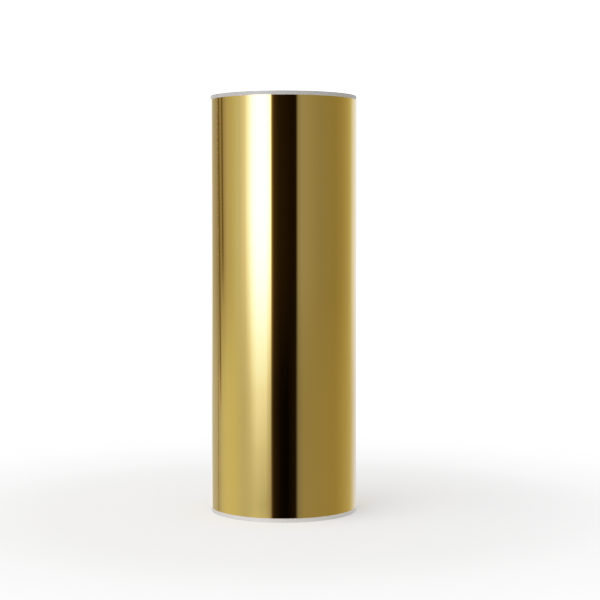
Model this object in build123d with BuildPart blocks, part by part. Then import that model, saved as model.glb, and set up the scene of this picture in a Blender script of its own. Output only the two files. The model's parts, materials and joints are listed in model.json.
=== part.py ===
from build123d import *
import math
import os

# A roll of sign vinyl standing on its end: a spiral-wound paper core, a start tape, and a web of mirror
# film on a release liner, wound face out. The web's last third of a turn is a free tail that lifts off.
# Millimetres, +Z up along the core's axis, with the origin at the centre of the bore's lower end.

# --- Driving dimensions ---
liner_width = 311.0  # also the length of the core
film_margin = 3.0  # bare liner beyond each edge of the film
bore_diameter = 76.2  # the 3 inch bore of a plotter's roll holder
skin_ply_thickness = 0.4  # the core's smooth inner and outer plies
board_ply_thickness = 0.7
board_ply_count = 6
tape_thickness = 0.1
tape_width = 19.0
liner_thickness = 0.14
film_thickness = 0.09  # metallised film with its adhesive coat
turn_count = 50
web_end_angle = 208.5  # where the web ends, in degrees anticlockwise from +X
tail_segment_count = 4
tail_segment_angle = 30.0
peel_start_angle = 10.0  # where the film's end parts from the liner, past the last tail hinge

# --- Worked out from them ---
film_length = liner_width - 2 * film_margin
web_thickness = liner_thickness + film_thickness
bore_radius = bore_diameter / 2
half_turn_count = 2 * turn_count
tail_start_angle = web_end_angle - tail_segment_count * tail_segment_angle
outer_turn_start_angle = tail_start_angle - 360
wall_thickness = 2 * skin_ply_thickness + board_ply_count * board_ply_thickness
core_radius = bore_radius + wall_thickness
web_start_radius = core_radius + tape_thickness

os.makedirs("parts", exist_ok=True)


def save(piece, label):
    piece.part.label = label
    export_step(piece.part, f"parts/{label}.step")


# --- The core: strips of paper wound and glued into a tube, one ply over another ---
ply_labels = ["core_inner_ply"]
ply_labels += [f"core_board_ply_{number}" for number in range(1, board_ply_count + 1)]
ply_labels += ["core_outer_ply"]

ply_radius = bore_radius
for ply_label in ply_labels:
    is_board = "board" in ply_label
    ply_thickness = board_ply_thickness if is_board else skin_ply_thickness
    with BuildPart() as core_ply:
        with BuildSketch():
            Circle(ply_radius + ply_thickness)
            Circle(ply_radius, mode=Mode.SUBTRACT)
        extrude(amount=liner_width)
    save(core_ply, ply_label)
    ply_radius += ply_thickness


# --- The web's spiral: half circles about two centres, each half turn wider by half the web's thickness ---
def point_at(centre, radius, angle):
    """The point on a circle at an angle in degrees anticlockwise from +X."""
    turned = math.radians(angle)
    return (centre[0] + radius * math.cos(turned), centre[1] + radius * math.sin(turned))


even_centre = (0.0, 0.0)
odd_centre = point_at(even_centre, web_thickness / 2, web_end_angle)
web_start_angle = web_end_angle - 180 * half_turn_count


def half_turn(number):
    """The centre, the liner's inner radius and the start angle of one half turn, counted from the core."""
    centre = odd_centre if number % 2 else even_centre
    radius = web_start_radius + number * web_thickness / 2
    return centre, radius, web_start_angle + 180 * number


def layer_arcs(depth, start_angle, end_angle):
    """Arcs along the web at a depth outwards from the liner's inner face, between two angles."""
    for number in range(half_turn_count):
        centre, radius, turn_start = half_turn(number)
        arc_start = max(turn_start, start_angle)
        arc_end = min(turn_start + 180, end_angle)
        if arc_end > arc_start:
            CenterArc(centre, radius + depth, arc_start, arc_end - arc_start)


def web_point(depth, angle):
    """The point of the web at a depth outwards from the liner's inner face, at an angle along the spiral."""
    number = min(int((angle - web_start_angle) // 180), half_turn_count - 1)
    centre, radius, _ = half_turn(number)
    return point_at(centre, radius + depth, angle)


def web_layer(label, inner_depth, outer_depth, base_height, height, start_angle, end_angle):
    """One stretch of film or liner, as wound, between two angles along the spiral."""
    with BuildPart() as layer:
        with BuildSketch(Plane.XY.offset(base_height)):
            with BuildLine():
                layer_arcs(inner_depth, start_angle, end_angle)
                layer_arcs(outer_depth, start_angle, end_angle)
                for cut_angle in (start_angle, end_angle):
                    Line(web_point(inner_depth, cut_angle), web_point(outer_depth, cut_angle))
            make_face()
        extrude(amount=height)
    save(layer, label)


def liner_stretch(label, start_angle, end_angle):
    web_layer(label, 0.0, liner_thickness, 0.0, liner_width, start_angle, end_angle)


def film_stretch(label, start_angle, end_angle):
    web_layer(label, liner_thickness, web_thickness, film_margin, film_length, start_angle, end_angle)


# --- The wound web: the turns inside, then the last whole turn, which ends where the tail begins ---
liner_stretch("wound_liner", web_start_angle, outer_turn_start_angle)
film_stretch("wound_film", web_start_angle, outer_turn_start_angle)
liner_stretch("outer_turn_liner", outer_turn_start_angle, tail_start_angle)
film_stretch("outer_turn_film", outer_turn_start_angle, tail_start_angle)

# --- The tail: stretches of liner, each with the film that is stuck to it ---
peel_angle = web_end_angle - tail_segment_angle + peel_start_angle
for number in range(1, tail_segment_count + 1):
    segment_end = tail_start_angle + number * tail_segment_angle
    segment_start = segment_end - tail_segment_angle
    liner_stretch(f"tail_liner_{number}", segment_start, segment_end)
    film_stretch(f"tail_film_{number}", segment_start, min(segment_end, peel_angle))

# --- The film's free end, which peels from the liner ---
film_stretch("film_peel_end", peel_angle, web_end_angle)

# --- The start tape: double-sided tape along the core under the web's first edge ---
tape_angle = math.degrees(tape_width / core_radius)
with BuildPart() as start_tape:
    with BuildSketch():
        with BuildLine():
            CenterArc(even_centre, core_radius, web_start_angle, tape_angle)
            CenterArc(even_centre, web_start_radius, web_start_angle, tape_angle)
            for tape_edge in (web_start_angle, web_start_angle + tape_angle):
                edge_inner = point_at(even_centre, core_radius, tape_edge)
                edge_outer = point_at(even_centre, web_start_radius, tape_edge)
                Line(edge_inner, edge_outer)
        make_face()
    extrude(amount=liner_width)
save(start_tape, "start_tape")

# --- Where the hinges are: on the web's outer face, so that nothing binds as the tail lifts ---
for number in range(tail_segment_count):
    hinge_angle = tail_start_angle + number * tail_segment_angle
    print("tail hinge", number + 1, "at", web_point(web_thickness, hinge_angle))
print("film peel hinge at", web_point(web_thickness, peel_angle))
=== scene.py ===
import json
import math

import bmesh
import bpy
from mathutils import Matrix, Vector, noise


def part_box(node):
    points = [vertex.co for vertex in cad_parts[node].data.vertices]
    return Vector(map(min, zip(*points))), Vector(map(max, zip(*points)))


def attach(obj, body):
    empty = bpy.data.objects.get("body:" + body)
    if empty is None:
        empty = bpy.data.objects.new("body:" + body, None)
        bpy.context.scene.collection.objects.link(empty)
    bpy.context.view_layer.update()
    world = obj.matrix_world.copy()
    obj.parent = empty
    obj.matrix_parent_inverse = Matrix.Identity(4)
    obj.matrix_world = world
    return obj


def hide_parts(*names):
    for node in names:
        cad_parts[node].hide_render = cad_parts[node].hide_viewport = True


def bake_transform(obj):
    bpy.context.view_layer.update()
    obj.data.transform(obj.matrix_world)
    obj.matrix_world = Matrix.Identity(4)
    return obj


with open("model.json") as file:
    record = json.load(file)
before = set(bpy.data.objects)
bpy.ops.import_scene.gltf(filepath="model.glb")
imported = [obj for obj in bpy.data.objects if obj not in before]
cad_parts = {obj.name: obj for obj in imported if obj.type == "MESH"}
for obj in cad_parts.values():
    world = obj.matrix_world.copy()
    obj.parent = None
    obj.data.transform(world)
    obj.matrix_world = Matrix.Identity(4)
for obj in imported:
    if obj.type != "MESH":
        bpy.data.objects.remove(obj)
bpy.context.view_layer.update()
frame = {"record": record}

# A roll of gold mirror vinyl on a white liner, standing on its end. Metres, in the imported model's frame.
MM = 0.001

# --- The web and the core, as part.py has them ---
LINER_THICKNESS = 0.14 * MM
FILM_THICKNESS = 0.09 * MM
WEB_THICKNESS = LINER_THICKNESS + FILM_THICKNESS
TURN_COUNT = 50
WEB_END = 208.5  # degrees anticlockwise from +X
TAIL_SEGMENTS = 4
SEGMENT_ANGLE = 30.0
PEEL_START = 10.0  # past the last tail hinge
SKIN_PLY = 0.4 * MM
BOARD_PLY = 0.7 * MM
BOARD_PLY_COUNT = 6
TAPE_THICKNESS = 0.1 * MM
TAPE_WIDTH = 19 * MM

bore_mount = next(m for m in frame["record"]["mounts"] if m["name"] == "core_bore")
BORE_RADIUS = bore_mount["dims"]["r_mm"] * MM
CORE_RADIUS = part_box("core_outer_ply")[1].x
LINER_LOW, LINER_HIGH = (corner.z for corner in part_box("wound_liner"))
FILM_LOW, FILM_HIGH = (corner.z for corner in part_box("wound_film"))
WEB_START_RADIUS = CORE_RADIUS + TAPE_THICKNESS
HALF_TURNS = 2 * TURN_COUNT
WEB_START = WEB_END - 180 * HALF_TURNS
TAIL_HINGES = [WEB_END - SEGMENT_ANGLE * number for number in range(TAIL_SEGMENTS, 0, -1)]
PEEL_HINGE = TAIL_HINGES[-1] + PEEL_START
OUTER_TURN_START = TAIL_HINGES[0] - 360
# Every second half turn of the spiral is about this centre, and the others are about the core's axis
ODD_CENTRE = Vector((math.cos(math.radians(WEB_END)), math.sin(math.radians(WEB_END)))) * WEB_THICKNESS / 2

# --- What is uneven on a real roll ---
RIPPLE_HEIGHT = 0.010 * MM
RIPPLE_SIZE = 45 * MM
RIPPLE_ALONG = 0.35  # scales heights, so that a ripple is about three times as long as it is wide
EDGE_WANDER = 0.11 * MM
SLOW_WANDER, SLOW_ROW = 260, 3.1  # degrees of winding to one step of the noise, and which row of it is read
FAST_WANDER, FAST_ROW = 40, 8.7
FAST_SHARE = 0.35  # of the fast wander, beside the slow one
FLOOR_CLEARANCE = 0.02 * MM
FILM_OVERHANG = 0.13  # degrees that the film's cut end reaches past the liner's
PLY_END_WEAR = 0.05 * MM
PLY_WEAR_SIZE = 7  # degrees
SEAM_PITCH = 110 * MM  # of the helical butt joint in the inner ply
SEAM_DEPTH = 0.12 * MM
SEAM_WIDTH = 0.5 * MM

# --- How finely the meshes are cut: steps in degrees, and heights as fractions of a layer's own height ---
TURNS_STEP = 2.5
OUTER_STEP = 0.8  # on the outermost turn and the tail
TAPE_STEP = 1.0
END_FACET = 0.06  # a narrow facet at each end of a stretch, so that its shading runs on into the next
OUTER_ROWS = 60
TURNS_HEIGHTS = [0.0, 0.012, 0.5, 0.988, 1.0]
OUTER_HEIGHTS = [row / OUTER_ROWS for row in range(OUTER_ROWS + 1)]
TAPE_HEIGHTS = [0.0, 0.5, 1.0]
PLY_COLUMNS = 256
PLY_ROWS = 4
SEAM_PLY_ROWS = 160
SHARP_ANGLE = 35  # degrees between faces above which an edge is sharp


# ============================== Geometry ==============================
def outward(angle):
    """The level direction at an angle in degrees anticlockwise from +X."""
    turned = math.radians(angle)
    return Vector((math.cos(turned), math.sin(turned), 0))


def web_point(angle, depth, height):
    """A point of the web at an angle along the spiral, at a depth outwards from the liner's inner face."""
    number = max(0, min(int((angle - WEB_START) // 180), HALF_TURNS - 1))
    radius = WEB_START_RADIUS + number * WEB_THICKNESS / 2 + depth
    turned = math.radians(angle)
    centre = ODD_CENTRE if number % 2 else Vector((0, 0))
    return Vector((centre.x + radius * math.cos(turned), centre.y + radius * math.sin(turned), height))


def ripple(angle, height):
    """How far the whole winding stands proud at a place, the same for every layer there."""
    place = outward(angle) * CORE_RADIUS
    place.z = height * RIPPLE_ALONG
    return RIPPLE_HEIGHT * noise.noise(place / RIPPLE_SIZE)


def wander(angle):
    """How far the web has strayed along the core at an angle along the spiral."""
    slow = noise.noise(Vector((angle / SLOW_WANDER, SLOW_ROW, 0)))
    fast = noise.noise(Vector((angle / FAST_WANDER, FAST_ROW, 0)))
    return EDGE_WANDER * (slow + FAST_SHARE * fast)


def spread(start, end, step):
    """Angles from start to end about a step apart, with a narrow facet at each end."""
    count = max(2, round((end - start) / step))
    angles = [start + (end - start) * n / count for n in range(count + 1)]
    return [start, start + END_FACET, *angles[1:-1], end - END_FACET, end]


def add_quads(build, left, right):
    """The faces between two lines of vertices that run side by side."""
    for row in range(len(left) - 1):
        build.faces.new((left[row], right[row], right[row + 1], left[row + 1]))


def add_skin(build, outside, inside):
    """The faces on two sides, each a list of columns of vertices, and along both their edges."""
    for side in (outside, inside):
        for left, right in zip(side, side[1:]):
            add_quads(build, left, right)
    for edge in (0, -1):
        add_quads(build, [column[edge] for column in outside], [column[edge] for column in inside])


def sheet_side(build, angles, heights, depth, low, high):
    """One side of a stretch of the web, as columns of vertices."""
    columns = []
    for angle in angles:
        shift = wander(angle)
        column = []
        for fraction in heights:
            height = low + (high - low) * fraction
            point = web_point(angle, depth, height)
            point += outward(angle) * ripple(angle, height)
            point.z = max(point.z + shift, FLOOR_CLEARANCE)
            column.append(build.verts.new(point))
        columns.append(column)
    return columns


def sheet_bmesh(angles, heights, inner, outer, low, high):
    """A thin closed sheet along the web's spiral, between two depths and two heights."""
    build = bmesh.new()
    outside = sheet_side(build, angles, heights, outer, low, high)
    inside = sheet_side(build, angles, heights, inner, low, high)
    add_skin(build, outside, inside)
    for end in (0, -1):
        add_quads(build, outside[end], inside[end])
    return build


def tube_wall(build, radius, rows, relief):
    """One wall of a ply, as columns of vertices from the first round to the first again, with worn ends."""
    columns = []
    for number in range(PLY_COLUMNS):
        angle = 360 * number / PLY_COLUMNS
        column = []
        for row in range(rows + 1):
            height = LINER_LOW + (LINER_HIGH - LINER_LOW) * row / rows
            place = outward(angle) * (radius + relief(angle, height))
            wear = abs(PLY_END_WEAR * noise.noise(Vector((angle / PLY_WEAR_SIZE, radius / MM, row))))
            inset = {0: wear, rows: -wear}.get(row, 0)
            column.append(build.verts.new((place.x, place.y, height + inset)))
        columns.append(column)
    return [*columns, columns[0]]


def tube_bmesh(inner_radius, outer_radius, rows, groove):
    """A closed tube about the core's axis, as long as the liner is wide, with a groove in both walls."""
    build = bmesh.new()
    outside = tube_wall(build, outer_radius, rows, lambda angle, height: -groove(angle, height))
    inside = tube_wall(build, inner_radius, rows, groove)
    add_skin(build, outside, inside)
    return build


def finish_mesh(name, build, body, nodes, material):
    """Turns a bmesh into a piece that rides on a body, stands for CAD nodes and has one material."""
    bmesh.ops.recalc_face_normals(build, faces=build.faces)
    mesh = bpy.data.meshes.new(name)
    build.to_mesh(mesh)
    build.free()
    for face in mesh.polygons:
        face.use_smooth = True
    mesh.set_sharp_from_angle(angle=math.radians(SHARP_ANGLE))
    mesh.materials.append(material)
    piece = bpy.data.objects.new(name, mesh)
    bpy.context.scene.collection.objects.link(piece)
    if body is not None:
        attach(piece, body)
    if nodes:
        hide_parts(*nodes)
    return piece


# ============================== Shader nodes ==============================
def new_material(name):
    """An empty material, with its node tree and its surface shader."""
    material = bpy.data.materials.new(name)
    material.use_nodes = True
    tree = material.node_tree
    return material, tree, tree.nodes["Principled BSDF"]


def object_noise(tree, scale, detail=4.0, stretch=(1, 1, 1), roughness=0.55):
    """Noise over the object's own space, in metres."""
    place = tree.nodes.new("ShaderNodeTexCoord")
    mapping = tree.nodes.new("ShaderNodeMapping")
    mapping.inputs["Scale"].default_value = stretch
    tree.links.new(place.outputs["Object"], mapping.inputs["Vector"])
    texture = tree.nodes.new("ShaderNodeTexNoise")
    texture.inputs["Scale"].default_value = scale
    texture.inputs["Detail"].default_value = detail
    texture.inputs["Roughness"].default_value = roughness
    tree.links.new(mapping.outputs["Vector"], texture.inputs["Vector"])
    return texture.outputs["Fac"]


def ramp(tree, value, *stops):
    """A colour ramp through (position, colour) stops."""
    node = tree.nodes.new("ShaderNodeValToRGB")
    elements = node.color_ramp.elements
    while len(elements) < len(stops):
        elements.new(0.5)
    for element, (position, colour) in zip(elements, stops):
        element.position = position
        element.color = (*colour, 1)
    tree.links.new(value, node.inputs["Fac"])
    return node.outputs["Color"]


def map_range(tree, value, source, target, smooth=False):
    """A value taken from one range to another, each given by its two ends, and held at the ends."""
    node = tree.nodes.new("ShaderNodeMapRange")
    node.interpolation_type = "SMOOTHSTEP" if smooth else "LINEAR"
    for name, limit in zip(("From Min", "From Max", "To Min", "To Max"), (*source, *target)):
        node.inputs[name].default_value = limit
    tree.links.new(value, node.inputs["Value"])
    return node.outputs["Result"]


def follow_curve(tree, value, stops):
    """A value that runs in straight lines through (place, level) stops, with levels from 0 to 1."""
    low, high = stops[0][0], stops[-1][0]
    node = tree.nodes.new("ShaderNodeFloatCurve")
    points = node.mapping.curves[0].points
    while len(points) < len(stops):
        points.new(0.5, 0.5)
    for point, (place, level) in zip(points, stops):
        point.location = ((place - low) / (high - low), level)
        point.handle_type = "VECTOR"
    node.mapping.update()
    tree.links.new(map_range(tree, value, (low, high), (0, 1)), node.inputs["Value"])
    return node.outputs["Value"]


def math_node(tree, operation, *values):
    """One step of arithmetic on values, each a number or a socket."""
    node = tree.nodes.new("ShaderNodeMath")
    node.operation = operation
    for socket, value in zip(node.inputs, values):
        if isinstance(value, (int, float)):
            socket.default_value = value
        else:
            tree.links.new(value, socket)
    return node.outputs["Value"]


def vector_math(tree, operation, first, second):
    """Scales, adds or dots a colour or vector by a value or another vector."""
    node = tree.nodes.new("ShaderNodeVectorMath")
    node.operation = operation
    tree.links.new(first, node.inputs[0])
    target = node.inputs["Scale"] if operation == "SCALE" else node.inputs[1]
    if isinstance(second, (int, float, tuple)):
        target.default_value = second
    else:
        tree.links.new(second, target)
    return node.outputs["Value"] if operation == "DOT_PRODUCT" else node.outputs["Vector"]


def plain_colour(tree, colour):
    socket = tree.nodes.new("ShaderNodeRGB").outputs["Color"]
    socket.default_value = (*colour, 1)
    return socket


def mix_colours(tree, factor, first, second):
    mix = tree.nodes.new("ShaderNodeMix")
    mix.data_type = "RGBA"
    sockets = [socket for socket in mix.inputs if socket.enabled]
    for socket, value in zip(sockets, (factor, first, second)):
        tree.links.new(value, socket)
    return next(socket for socket in mix.outputs if socket.enabled)


def mix_shaders(tree, factor, first, second):
    mix = tree.nodes.new("ShaderNodeMixShader")
    tree.links.new(factor, mix.inputs["Fac"])
    tree.links.new(first, mix.inputs[1])
    tree.links.new(second, mix.inputs[2])
    return mix.outputs["Shader"]


def background(tree, colour):
    node = tree.nodes.new("ShaderNodeBackground")
    tree.links.new(colour, node.inputs["Color"])
    return node.outputs["Background"]


def bump(tree, height, strength, distance):
    node = tree.nodes.new("ShaderNodeBump")
    node.inputs["Strength"].default_value = strength
    node.inputs["Distance"].default_value = distance
    tree.links.new(height, node.inputs["Height"])
    return node.outputs["Normal"]


# ============================== Materials ==============================
def gold_film():
    """Metallised film under a gold lacquer: a near mirror with a faint cloudiness and fine scuffs."""
    material, tree, surface = new_material("gold_mirror_film")
    clouds = object_noise(tree, scale=9, detail=3)
    colour = ramp(tree, clouds, (0.3, (0.87, 0.565, 0.108)), (0.7, (0.91, 0.595, 0.122)))
    tree.links.new(colour, surface.inputs["Base Color"])
    surface.inputs["Metallic"].default_value = 1.0
    surface.inputs["Coat Weight"].default_value = 0.45
    surface.inputs["Coat Roughness"].default_value = 0.02
    scuffs = object_noise(tree, scale=160, detail=6, stretch=(1, 1, 0.15), roughness=0.7)
    tree.links.new(map_range(tree, scuffs, (0.3, 0.8), (0.018, 0.05)), surface.inputs["Roughness"])
    skin = object_noise(tree, scale=35, detail=2)
    tree.links.new(bump(tree, skin, strength=0.05, distance=0.05 * MM), surface.inputs["Normal"])
    return material


def liner_paper():
    """White silicone-coated paper: smooth, faintly glossy, with a fine fibre."""
    material, tree, surface = new_material("white_liner_paper")
    fibres = object_noise(tree, scale=900, detail=5, stretch=(1, 1, 0.6))
    colour = ramp(tree, fibres, (0.3, (0.60, 0.575, 0.54)), (0.7, (0.66, 0.64, 0.61)))
    tree.links.new(colour, surface.inputs["Base Color"])
    tree.links.new(map_range(tree, fibres, (0.2, 0.8), (0.38, 0.52)), surface.inputs["Roughness"])
    tree.links.new(bump(tree, fibres, strength=0.25, distance=0.02 * MM), surface.inputs["Normal"])
    return material


def paper_ply(name, dark, light, fibre_scale=600):
    """Core paper: matt, with long fibres and a mottled tone."""
    material, tree, surface = new_material(name)
    fibres = object_noise(tree, scale=fibre_scale, detail=7, stretch=(1, 1, 0.4), roughness=0.7)
    colour = ramp(tree, fibres, (0.3, dark), (0.7, light))
    tree.links.new(colour, surface.inputs["Base Color"])
    surface.inputs["Roughness"].default_value = 0.85
    tree.links.new(bump(tree, fibres, strength=0.6, distance=0.06 * MM), surface.inputs["Normal"])
    return material


def tape_film():
    """Clear amber carrier of the start tape, with its adhesive."""
    material, tree, surface = new_material("amber_tape")
    cloud = object_noise(tree, scale=300)
    colour = ramp(tree, cloud, (0.3, (0.62, 0.50, 0.26)), (0.7, (0.74, 0.63, 0.36)))
    tree.links.new(colour, surface.inputs["Base Color"])
    surface.inputs["Roughness"].default_value = 0.25
    return material


GOLD = gold_film()
LINER = liner_paper()
INNER_PAPER = paper_ply("taupe_kraft", (0.25, 0.212, 0.205), (0.35, 0.305, 0.295))
BOARD = paper_ply("core_board", (0.52, 0.49, 0.45), (0.62, 0.59, 0.55), fibre_scale=800)
OUTER_PAPER = paper_ply("white_core_paper", (0.62, 0.61, 0.60), (0.72, 0.71, 0.70))
TAPE = tape_film()


# ============================== The core ==============================
def seam_groove(angle, height):
    """How deep the butt joint of the helical strip is at a place on a ply's wall."""
    along = (height / SEAM_PITCH + angle / 360) % 1.0
    gap = min(along, 1 - along) * SEAM_PITCH
    return SEAM_DEPTH * math.exp(-((gap / SEAM_WIDTH) ** 2))


def no_groove(angle, height):
    return 0.0


def make_core():
    """The plies of the core, from the bore outwards."""
    boards = [f"core_board_ply_{number}" for number in range(1, BOARD_PLY_COUNT + 1)]
    plies = [
        ("core_inner_ply", SKIN_PLY, INNER_PAPER, "core_inner_paper"),
        *((node, BOARD_PLY, BOARD, "core_board") for node in boards),
        ("core_outer_ply", SKIN_PLY, OUTER_PAPER, "core_outer_paper"),
    ]
    radius = BORE_RADIUS
    for node, thickness, material, slot in plies:
        shows_seam = node == "core_inner_ply"
        rows = SEAM_PLY_ROWS if shows_seam else PLY_ROWS
        groove = seam_groove if shows_seam else no_groove
        tube = tube_bmesh(radius, radius + thickness, rows, groove)
        finish_mesh(f"{node}_paper", tube, "roll", [node], material)
        radius += thickness


# ============================== The web ==============================
LAYERS = {
    "liner": (0.0, LINER_THICKNESS, LINER_LOW, LINER_HIGH),
    "film": (LINER_THICKNESS, WEB_THICKNESS, FILM_LOW, FILM_HIGH),
}


def web_sheet(name, layer, angles, heights, body, nodes):
    """One stretch of the film or the liner."""
    inner, outer, low, high = LAYERS[layer]
    build = sheet_bmesh(angles, heights, inner, outer, low, high)
    material = GOLD if layer == "film" else LINER
    piece = finish_mesh(name, build, body, nodes, material)
    return piece


def make_wound_web():
    """The turns inside and the outermost turn, up to where the tail begins."""
    for layer in LAYERS:
        angles = spread(WEB_START, OUTER_TURN_START, TURNS_STEP)
        web_sheet(f"wound_{layer}_turns", layer, angles, TURNS_HEIGHTS, "roll", [f"wound_{layer}"])
        angles = spread(OUTER_TURN_START, TAIL_HINGES[0], OUTER_STEP)
        web_sheet(f"outer_{layer}_turn", layer, angles, OUTER_HEIGHTS, "roll", [f"outer_turn_{layer}"])


def make_tail_bends():
    """Stretches of the tail, each of which reaches across one hinge."""
    middles = [(a + b) / 2 for a, b in zip(TAIL_HINGES, TAIL_HINGES[1:])]
    cuts = [TAIL_HINGES[0], *middles, PEEL_HINGE]
    for layer in LAYERS:
        for number, (start, end) in enumerate(zip(cuts, cuts[1:]), 1):
            angles = spread(start, end, OUTER_STEP)
            name = f"tail_{layer}_bend_{number}"
            piece = web_sheet(name, layer, angles, OUTER_HEIGHTS, None, [f"tail_{layer}_{number}"])
            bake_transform(piece)


def make_tail_end():
    """The last stretch of the tail, where the film's cut end reaches a little past the liner's."""
    liner_angles = spread(PEEL_HINGE, WEB_END - FILM_OVERHANG, OUTER_STEP)
    film_angles = spread(PEEL_HINGE, WEB_END, OUTER_STEP)
    web_sheet("tail_liner_end", "liner", liner_angles, OUTER_HEIGHTS, "tail_4", [])
    film_end = web_sheet("tail_film_end", "film", film_angles, OUTER_HEIGHTS, None, ["film_peel_end"])
    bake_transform(film_end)


def make_tape():
    """The start tape, along the core under the web's first edge."""
    tape_end = WEB_START + math.degrees(TAPE_WIDTH / CORE_RADIUS)
    angles = spread(WEB_START, tape_end, TAPE_STEP)
    build = sheet_bmesh(angles, TAPE_HEIGHTS, -TAPE_THICKNESS, 0.0, LINER_LOW, LINER_HIGH)
    tape = finish_mesh("start_tape_strip", build, "roll", ["start_tape"], TAPE)


make_core()
make_wound_web()
make_tail_bends()
make_tail_end()
make_tape()

# ============================== Floor, light and camera ==============================
CAMERA_DISTANCE = 1.15
CAMERA_HEIGHT = 0.2146
CAMERA_SIDE = 0.01223
CAMERA_PITCH = 2.79  # degrees down
LENS = 91.7

FLOOR_RADIUS = 3.0
FLOOR_SEGMENTS = 96
FLOOR_COLOUR = (0.86, 0.86, 0.86)
FLOOR_FADE = (0.15, 0.60)  # the floor fades into the backdrop between these distances from the roll's axis
BACKDROP_LEVEL = 3.0

# The room that the film mirrors, in rings at three heights. A stop is a direction in degrees, from the
# camera's side towards +X, with its level and its tone.
NEUTRAL = (1.0, 1.0, 1.0)
WARM = (1.0, 0.95, 0.68)
COOL = (0.97, 1.02, 1.34)
AMBER = (1.0, 0.65, 0.42)
UPPER_RING = (
    (-180, 0.70, NEUTRAL), (-175, 2.30, NEUTRAL), (-156, 2.30, NEUTRAL), (-150, 0.55, NEUTRAL),
    (-134, 0.40, NEUTRAL), (-118, 0.31, WARM), (-106, 0.38, NEUTRAL), (-100, 0.51, NEUTRAL),
    (-88, 0.60, NEUTRAL), (-74, 0.75, COOL), (-30, 0.62, COOL), (-19.3, 0.50, NEUTRAL),
    (-16.3, 0.12, AMBER), (-14, 0.048, AMBER), (-8, 0.021, AMBER), (12, 0.010, AMBER),
    (19.6, 0.012, AMBER), (23.4, 0.32, COOL), (29, 0.38, COOL), (48, 0.34, NEUTRAL),
    (60, 0.31, NEUTRAL), (88, 0.31, WARM), (104, 0.36, WARM), (119, 0.46, WARM),
    (131, 0.64, WARM), (137, 0.93, NEUTRAL), (147, 1.15, NEUTRAL), (162, 1.40, NEUTRAL),
    (168, 0.80, NEUTRAL), (180, 0.70, NEUTRAL),
)
TABLE_RING = (
    (-180, 0.70, NEUTRAL), (-174, 1.60, NEUTRAL), (-160, 1.60, NEUTRAL), (-152, 0.62, NEUTRAL),
    (-136, 0.56, NEUTRAL), (-122, 0.50, NEUTRAL), (-112, 0.68, NEUTRAL), (-100, 0.76, NEUTRAL),
    (-84, 0.74, NEUTRAL), (-66, 0.63, COOL), (-44, 0.62, COOL), (-28, 0.48, COOL),
    (-20.1, 0.36, COOL), (-17.5, 0.07, AMBER), (-14, 0.02, AMBER), (-4, 0.004, AMBER),
    (6, 0.002, AMBER), (19.4, 0.014, AMBER), (23.2, 0.26, COOL), (32, 0.33, NEUTRAL),
    (88, 0.34, WARM), (104, 0.41, WARM), (119, 0.49, WARM), (133, 0.62, WARM),
    (138, 0.74, NEUTRAL), (147, 0.90, NEUTRAL), (162, 1.10, NEUTRAL), (168, 0.80, NEUTRAL),
    (180, 0.70, NEUTRAL),
)
LOWER_RING = (
    (-180, 0.70, NEUTRAL), (-174, 2.80, NEUTRAL), (-160, 2.80, NEUTRAL), (-152, 0.60, NEUTRAL),
    (-143, 0.30, WARM), (-138, 0.06, AMBER), (-117, 0.06, AMBER), (-112, 0.36, WARM),
    (-85, 0.55, NEUTRAL), (-60, 0.72, NEUTRAL), (-48, 5.00, NEUTRAL), (-24, 5.00, NEUTRAL),
    (-20, 1.00, NEUTRAL), (-17.6, 0.03, AMBER), (18.6, 0.03, AMBER), (22.4, 0.34, NEUTRAL),
    (50, 0.28, WARM), (60, 0.04, AMBER), (86, 0.04, AMBER), (91, 0.32, WARM),
    (122, 0.60, WARM), (132, 0.80, NEUTRAL), (138, 4.00, NEUTRAL), (162, 4.00, NEUTRAL),
    (167, 0.80, NEUTRAL), (180, 0.70, NEUTRAL),
)
RING_PEAK = 5.0  # the level that a colour of 1.0 stands for on a ring's ramp
TABLE_RISE = (-7.4, -1.0)  # degrees; below, the table ring shows, and above, the upper ring
LOWER_RISE = (-18.0, -10.3)  # degrees; below, the lower ring shows

# The softbox left of the camera, in (degrees, brightness) stops: by direction, from its far edge to its near
# one, and by rise
SOFTBOX_ACROSS = (
    (-90, 0.0), (-72, 0.0), (-62, 0.05), (-55, 0.22), (-48, 0.62), (-41, 1.0), (-27.5, 1.0),
    (-24.2, 0.62), (-20.0, 0.42), (-18.4, 0.0), (0, 0.0),
)
SOFTBOX_UP = (
    (-14, 0.0), (-10.4, 0.012), (-8.6, 0.045), (-6.2, 0.12), (-4.6, 0.25), (-3, 0.48),
    (-1.3, 0.74), (0.8, 1.0), (2, 1.0),
)
SOFTBOX_LEVEL = 9.0
SOFTBOX_TONE = (0.91, 0.97, 1.55)

# Two thin leaning stands at the roll's left, which the film shows as fine dark lines: direction at level,
# degrees of turn for each degree of rise, and the rise at which each one fades out into the table
STANDS = ((-121.1, -0.50, -6.2), (-111.1, -0.38, -1.8))
STAND_WIDTH = 3.6  # degrees from a stand's middle to its edge
STAND_FADE = 1.5  # degrees of rise to either side of where it fades out
STAND_SHADE = 0.98  # how much of the room a stand's middle hides
STAND_COLOUR = (0.10, 0.055, 0.015)

# The light that paper and floor see: a soft dome, bright overhead, and a wide key light from front left
DOME_LOW = 0.18
DOME_HIGH = 2.5
DOME_RISE = (15, 75)  # degrees, from its low level to its high one
KEY_DIRECTION = (-0.60, -0.52, 0.61)
KEY_EDGE = (0.70, 0.98)  # cosines of the angle from its middle: where it begins, and where it is full
KEY_LEVEL = 1.7

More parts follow.
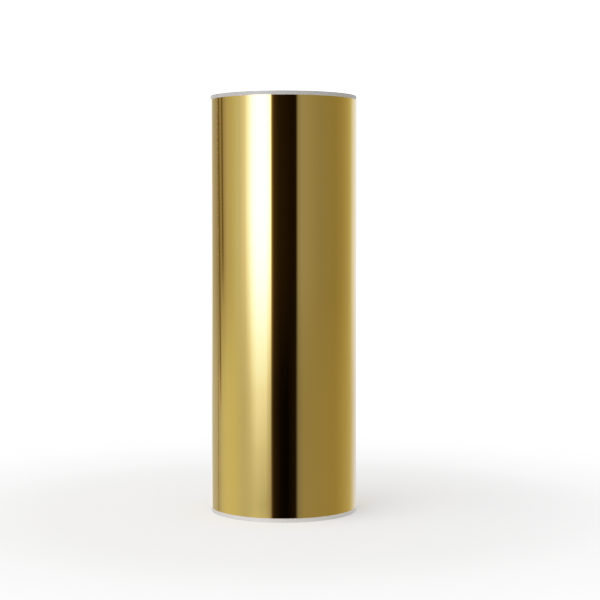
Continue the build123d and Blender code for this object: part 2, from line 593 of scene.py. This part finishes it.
# The camera's response: light in, light out, with a soft shoulder so that highlights go cream before white
RESPONSE_WHITE = 2.5
RESPONSE = (
    (0.0, 0.0), (0.2, 0.2), (0.4, 0.39), (0.65, 0.56), (0.9, 0.71), (1.2, 0.84), (1.6, 0.94),
    (2.1, 0.99), (2.5, 1.0),
)
COMBINED_CURVE = 3  # comes after the view's curves for red, green and blue


def make_floor():
    """A pale floor that fades out round the roll, and that the film doesn't mirror."""
    build = bmesh.new()
    bmesh.ops.create_circle(build, cap_ends=True, segments=FLOOR_SEGMENTS, radius=FLOOR_RADIUS)
    mesh = bpy.data.meshes.new("floor")
    build.to_mesh(mesh)
    build.free()
    material, tree, surface = new_material("pale_floor")
    surface.inputs["Base Color"].default_value = (*FLOOR_COLOUR, 1)
    surface.inputs["Roughness"].default_value = 0.9
    place = tree.nodes.new("ShaderNodeTexCoord")
    length = tree.nodes.new("ShaderNodeVectorMath")
    length.operation = "LENGTH"
    tree.links.new(place.outputs["Object"], length.inputs[0])
    fade = map_range(tree, length.outputs["Value"], FLOOR_FADE, (0, 1), smooth=True)
    clear = tree.nodes.new("ShaderNodeBsdfTransparent")
    shown = mix_shaders(tree, fade, surface.outputs["BSDF"], clear.outputs["BSDF"])
    tree.links.new(shown, tree.nodes["Material Output"].inputs["Surface"])
    mesh.materials.append(material)
    floor = bpy.data.objects.new("floor", mesh)
    bpy.context.scene.collection.objects.link(floor)
    floor.visible_glossy = False


def room_ring(tree, turn, stops):
    """The room's light all round at one height."""
    share = map_range(tree, turn, (-180, 180), (0, 1))
    colours = [((angle + 180) / 360, tuple(level * part / RING_PEAK for part in tone))
               for angle, level, tone in stops]
    return vector_math(tree, "SCALE", ramp(tree, share, *colours), RING_PEAK)


def stand_cover(tree, turn, rise, direction, lean, foot):
    """How much of the room one thin stand hides in a direction."""
    offset = math_node(tree, "SUBTRACT", turn, math_node(tree, "MULTIPLY_ADD", rise, lean, direction))
    near = map_range(tree, math_node(tree, "ABSOLUTE", offset), (0, STAND_WIDTH), (STAND_SHADE, 0))
    above = map_range(tree, rise, (foot - STAND_FADE, foot + STAND_FADE), (0, 1), smooth=True)
    return math_node(tree, "MULTIPLY", near, above)


def softbox_light(tree, turn, rise):
    """The softbox's light in a direction."""
    across = follow_curve(tree, turn, SOFTBOX_ACROSS)
    upwards = follow_curve(tree, rise, SOFTBOX_UP)
    level = math_node(tree, "MULTIPLY", math_node(tree, "MULTIPLY", across, upwards), SOFTBOX_LEVEL)
    return vector_math(tree, "SCALE", plain_colour(tree, SOFTBOX_TONE), level)


def mirrored_room(tree, turn, rise):
    """What the film mirrors: the rings, the stands in front of them and the softbox."""
    upper = room_ring(tree, turn, UPPER_RING)
    table = room_ring(tree, turn, TABLE_RING)
    lower = room_ring(tree, turn, LOWER_RING)
    room = mix_colours(tree, map_range(tree, rise, TABLE_RISE, (0, 1), smooth=True), table, upper)
    room = mix_colours(tree, map_range(tree, rise, LOWER_RISE, (0, 1), smooth=True), lower, room)
    stand = plain_colour(tree, STAND_COLOUR)
    for direction, lean, foot in STANDS:
        room = mix_colours(tree, stand_cover(tree, turn, rise, direction, lean, foot), room, stand)
    return vector_math(tree, "ADD", room, softbox_light(tree, turn, rise))


def soft_dome(tree, direction, rise):
    """The light on paper and floor."""
    level = map_range(tree, rise, DOME_RISE, (DOME_LOW, DOME_HIGH), smooth=True)
    facing = vector_math(tree, "DOT_PRODUCT", direction, KEY_DIRECTION)
    key = map_range(tree, facing, KEY_EDGE, (0, KEY_LEVEL), smooth=True)
    return math_node(tree, "ADD", level, key)


def make_studio():
    """The world: a white backdrop for the camera, the room for mirror rays and the dome for the rest."""
    world = bpy.data.worlds.new("studio")
    bpy.context.scene.world = world
    world.use_nodes = True
    tree = world.node_tree
    place = tree.nodes.new("ShaderNodeTexCoord")
    direction = place.outputs["Generated"]
    parts = tree.nodes.new("ShaderNodeSeparateXYZ")
    tree.links.new(direction, parts.inputs["Vector"])
    towards_camera = math_node(tree, "MULTIPLY", parts.outputs["Y"], -1)
    turn = math_node(tree, "DEGREES", math_node(tree, "ARCTAN2", parts.outputs["X"], towards_camera))
    rise = math_node(tree, "DEGREES", math_node(tree, "ARCSINE", parts.outputs["Z"]))
    backdrop = tree.nodes["Background"]
    backdrop.inputs["Color"].default_value = (1, 1, 1, 1)
    backdrop.inputs["Strength"].default_value = BACKDROP_LEVEL
    path = tree.nodes.new("ShaderNodeLightPath")
    dome = background(tree, soft_dome(tree, direction, rise))
    room = background(tree, mirrored_room(tree, turn, rise))
    light = mix_shaders(tree, path.outputs["Is Glossy Ray"], dome, room)
    shown = mix_shaders(tree, path.outputs["Is Camera Ray"], light, backdrop.outputs["Background"])
    tree.links.new(shown, tree.nodes["World Output"].inputs["Surface"])


def make_camera():
    """The camera, at the photograph's viewing angle."""
    data = bpy.data.cameras.new("camera")
    data.lens = LENS
    camera = bpy.data.objects.new("camera", data)
    bpy.context.scene.collection.objects.link(camera)
    camera.location = (CAMERA_SIDE, -CAMERA_DISTANCE, CAMERA_HEIGHT)
    camera.rotation_euler = (math.radians(90 - CAMERA_PITCH), 0, 0)
    bpy.context.scene.camera = camera


def make_response():
    """Gives the view the camera's response."""
    view = bpy.context.scene.view_settings
    view.view_transform = "Standard"
    view.use_curve_mapping = True
    mapping = view.curve_mapping
    mapping.white_level = (RESPONSE_WHITE, RESPONSE_WHITE, RESPONSE_WHITE)
    mapping.extend = "HORIZONTAL"
    points = mapping.curves[COMBINED_CURVE].points
    while len(points) < len(RESPONSE):
        points.new(0.5, 0.5)
    for point, (light_in, light_out) in zip(points, RESPONSE):
        point.location = (light_in / RESPONSE_WHITE, light_out)
        point.handle_type = "VECTOR"
    mapping.update()


make_floor()
make_studio()
make_camera()
make_response()
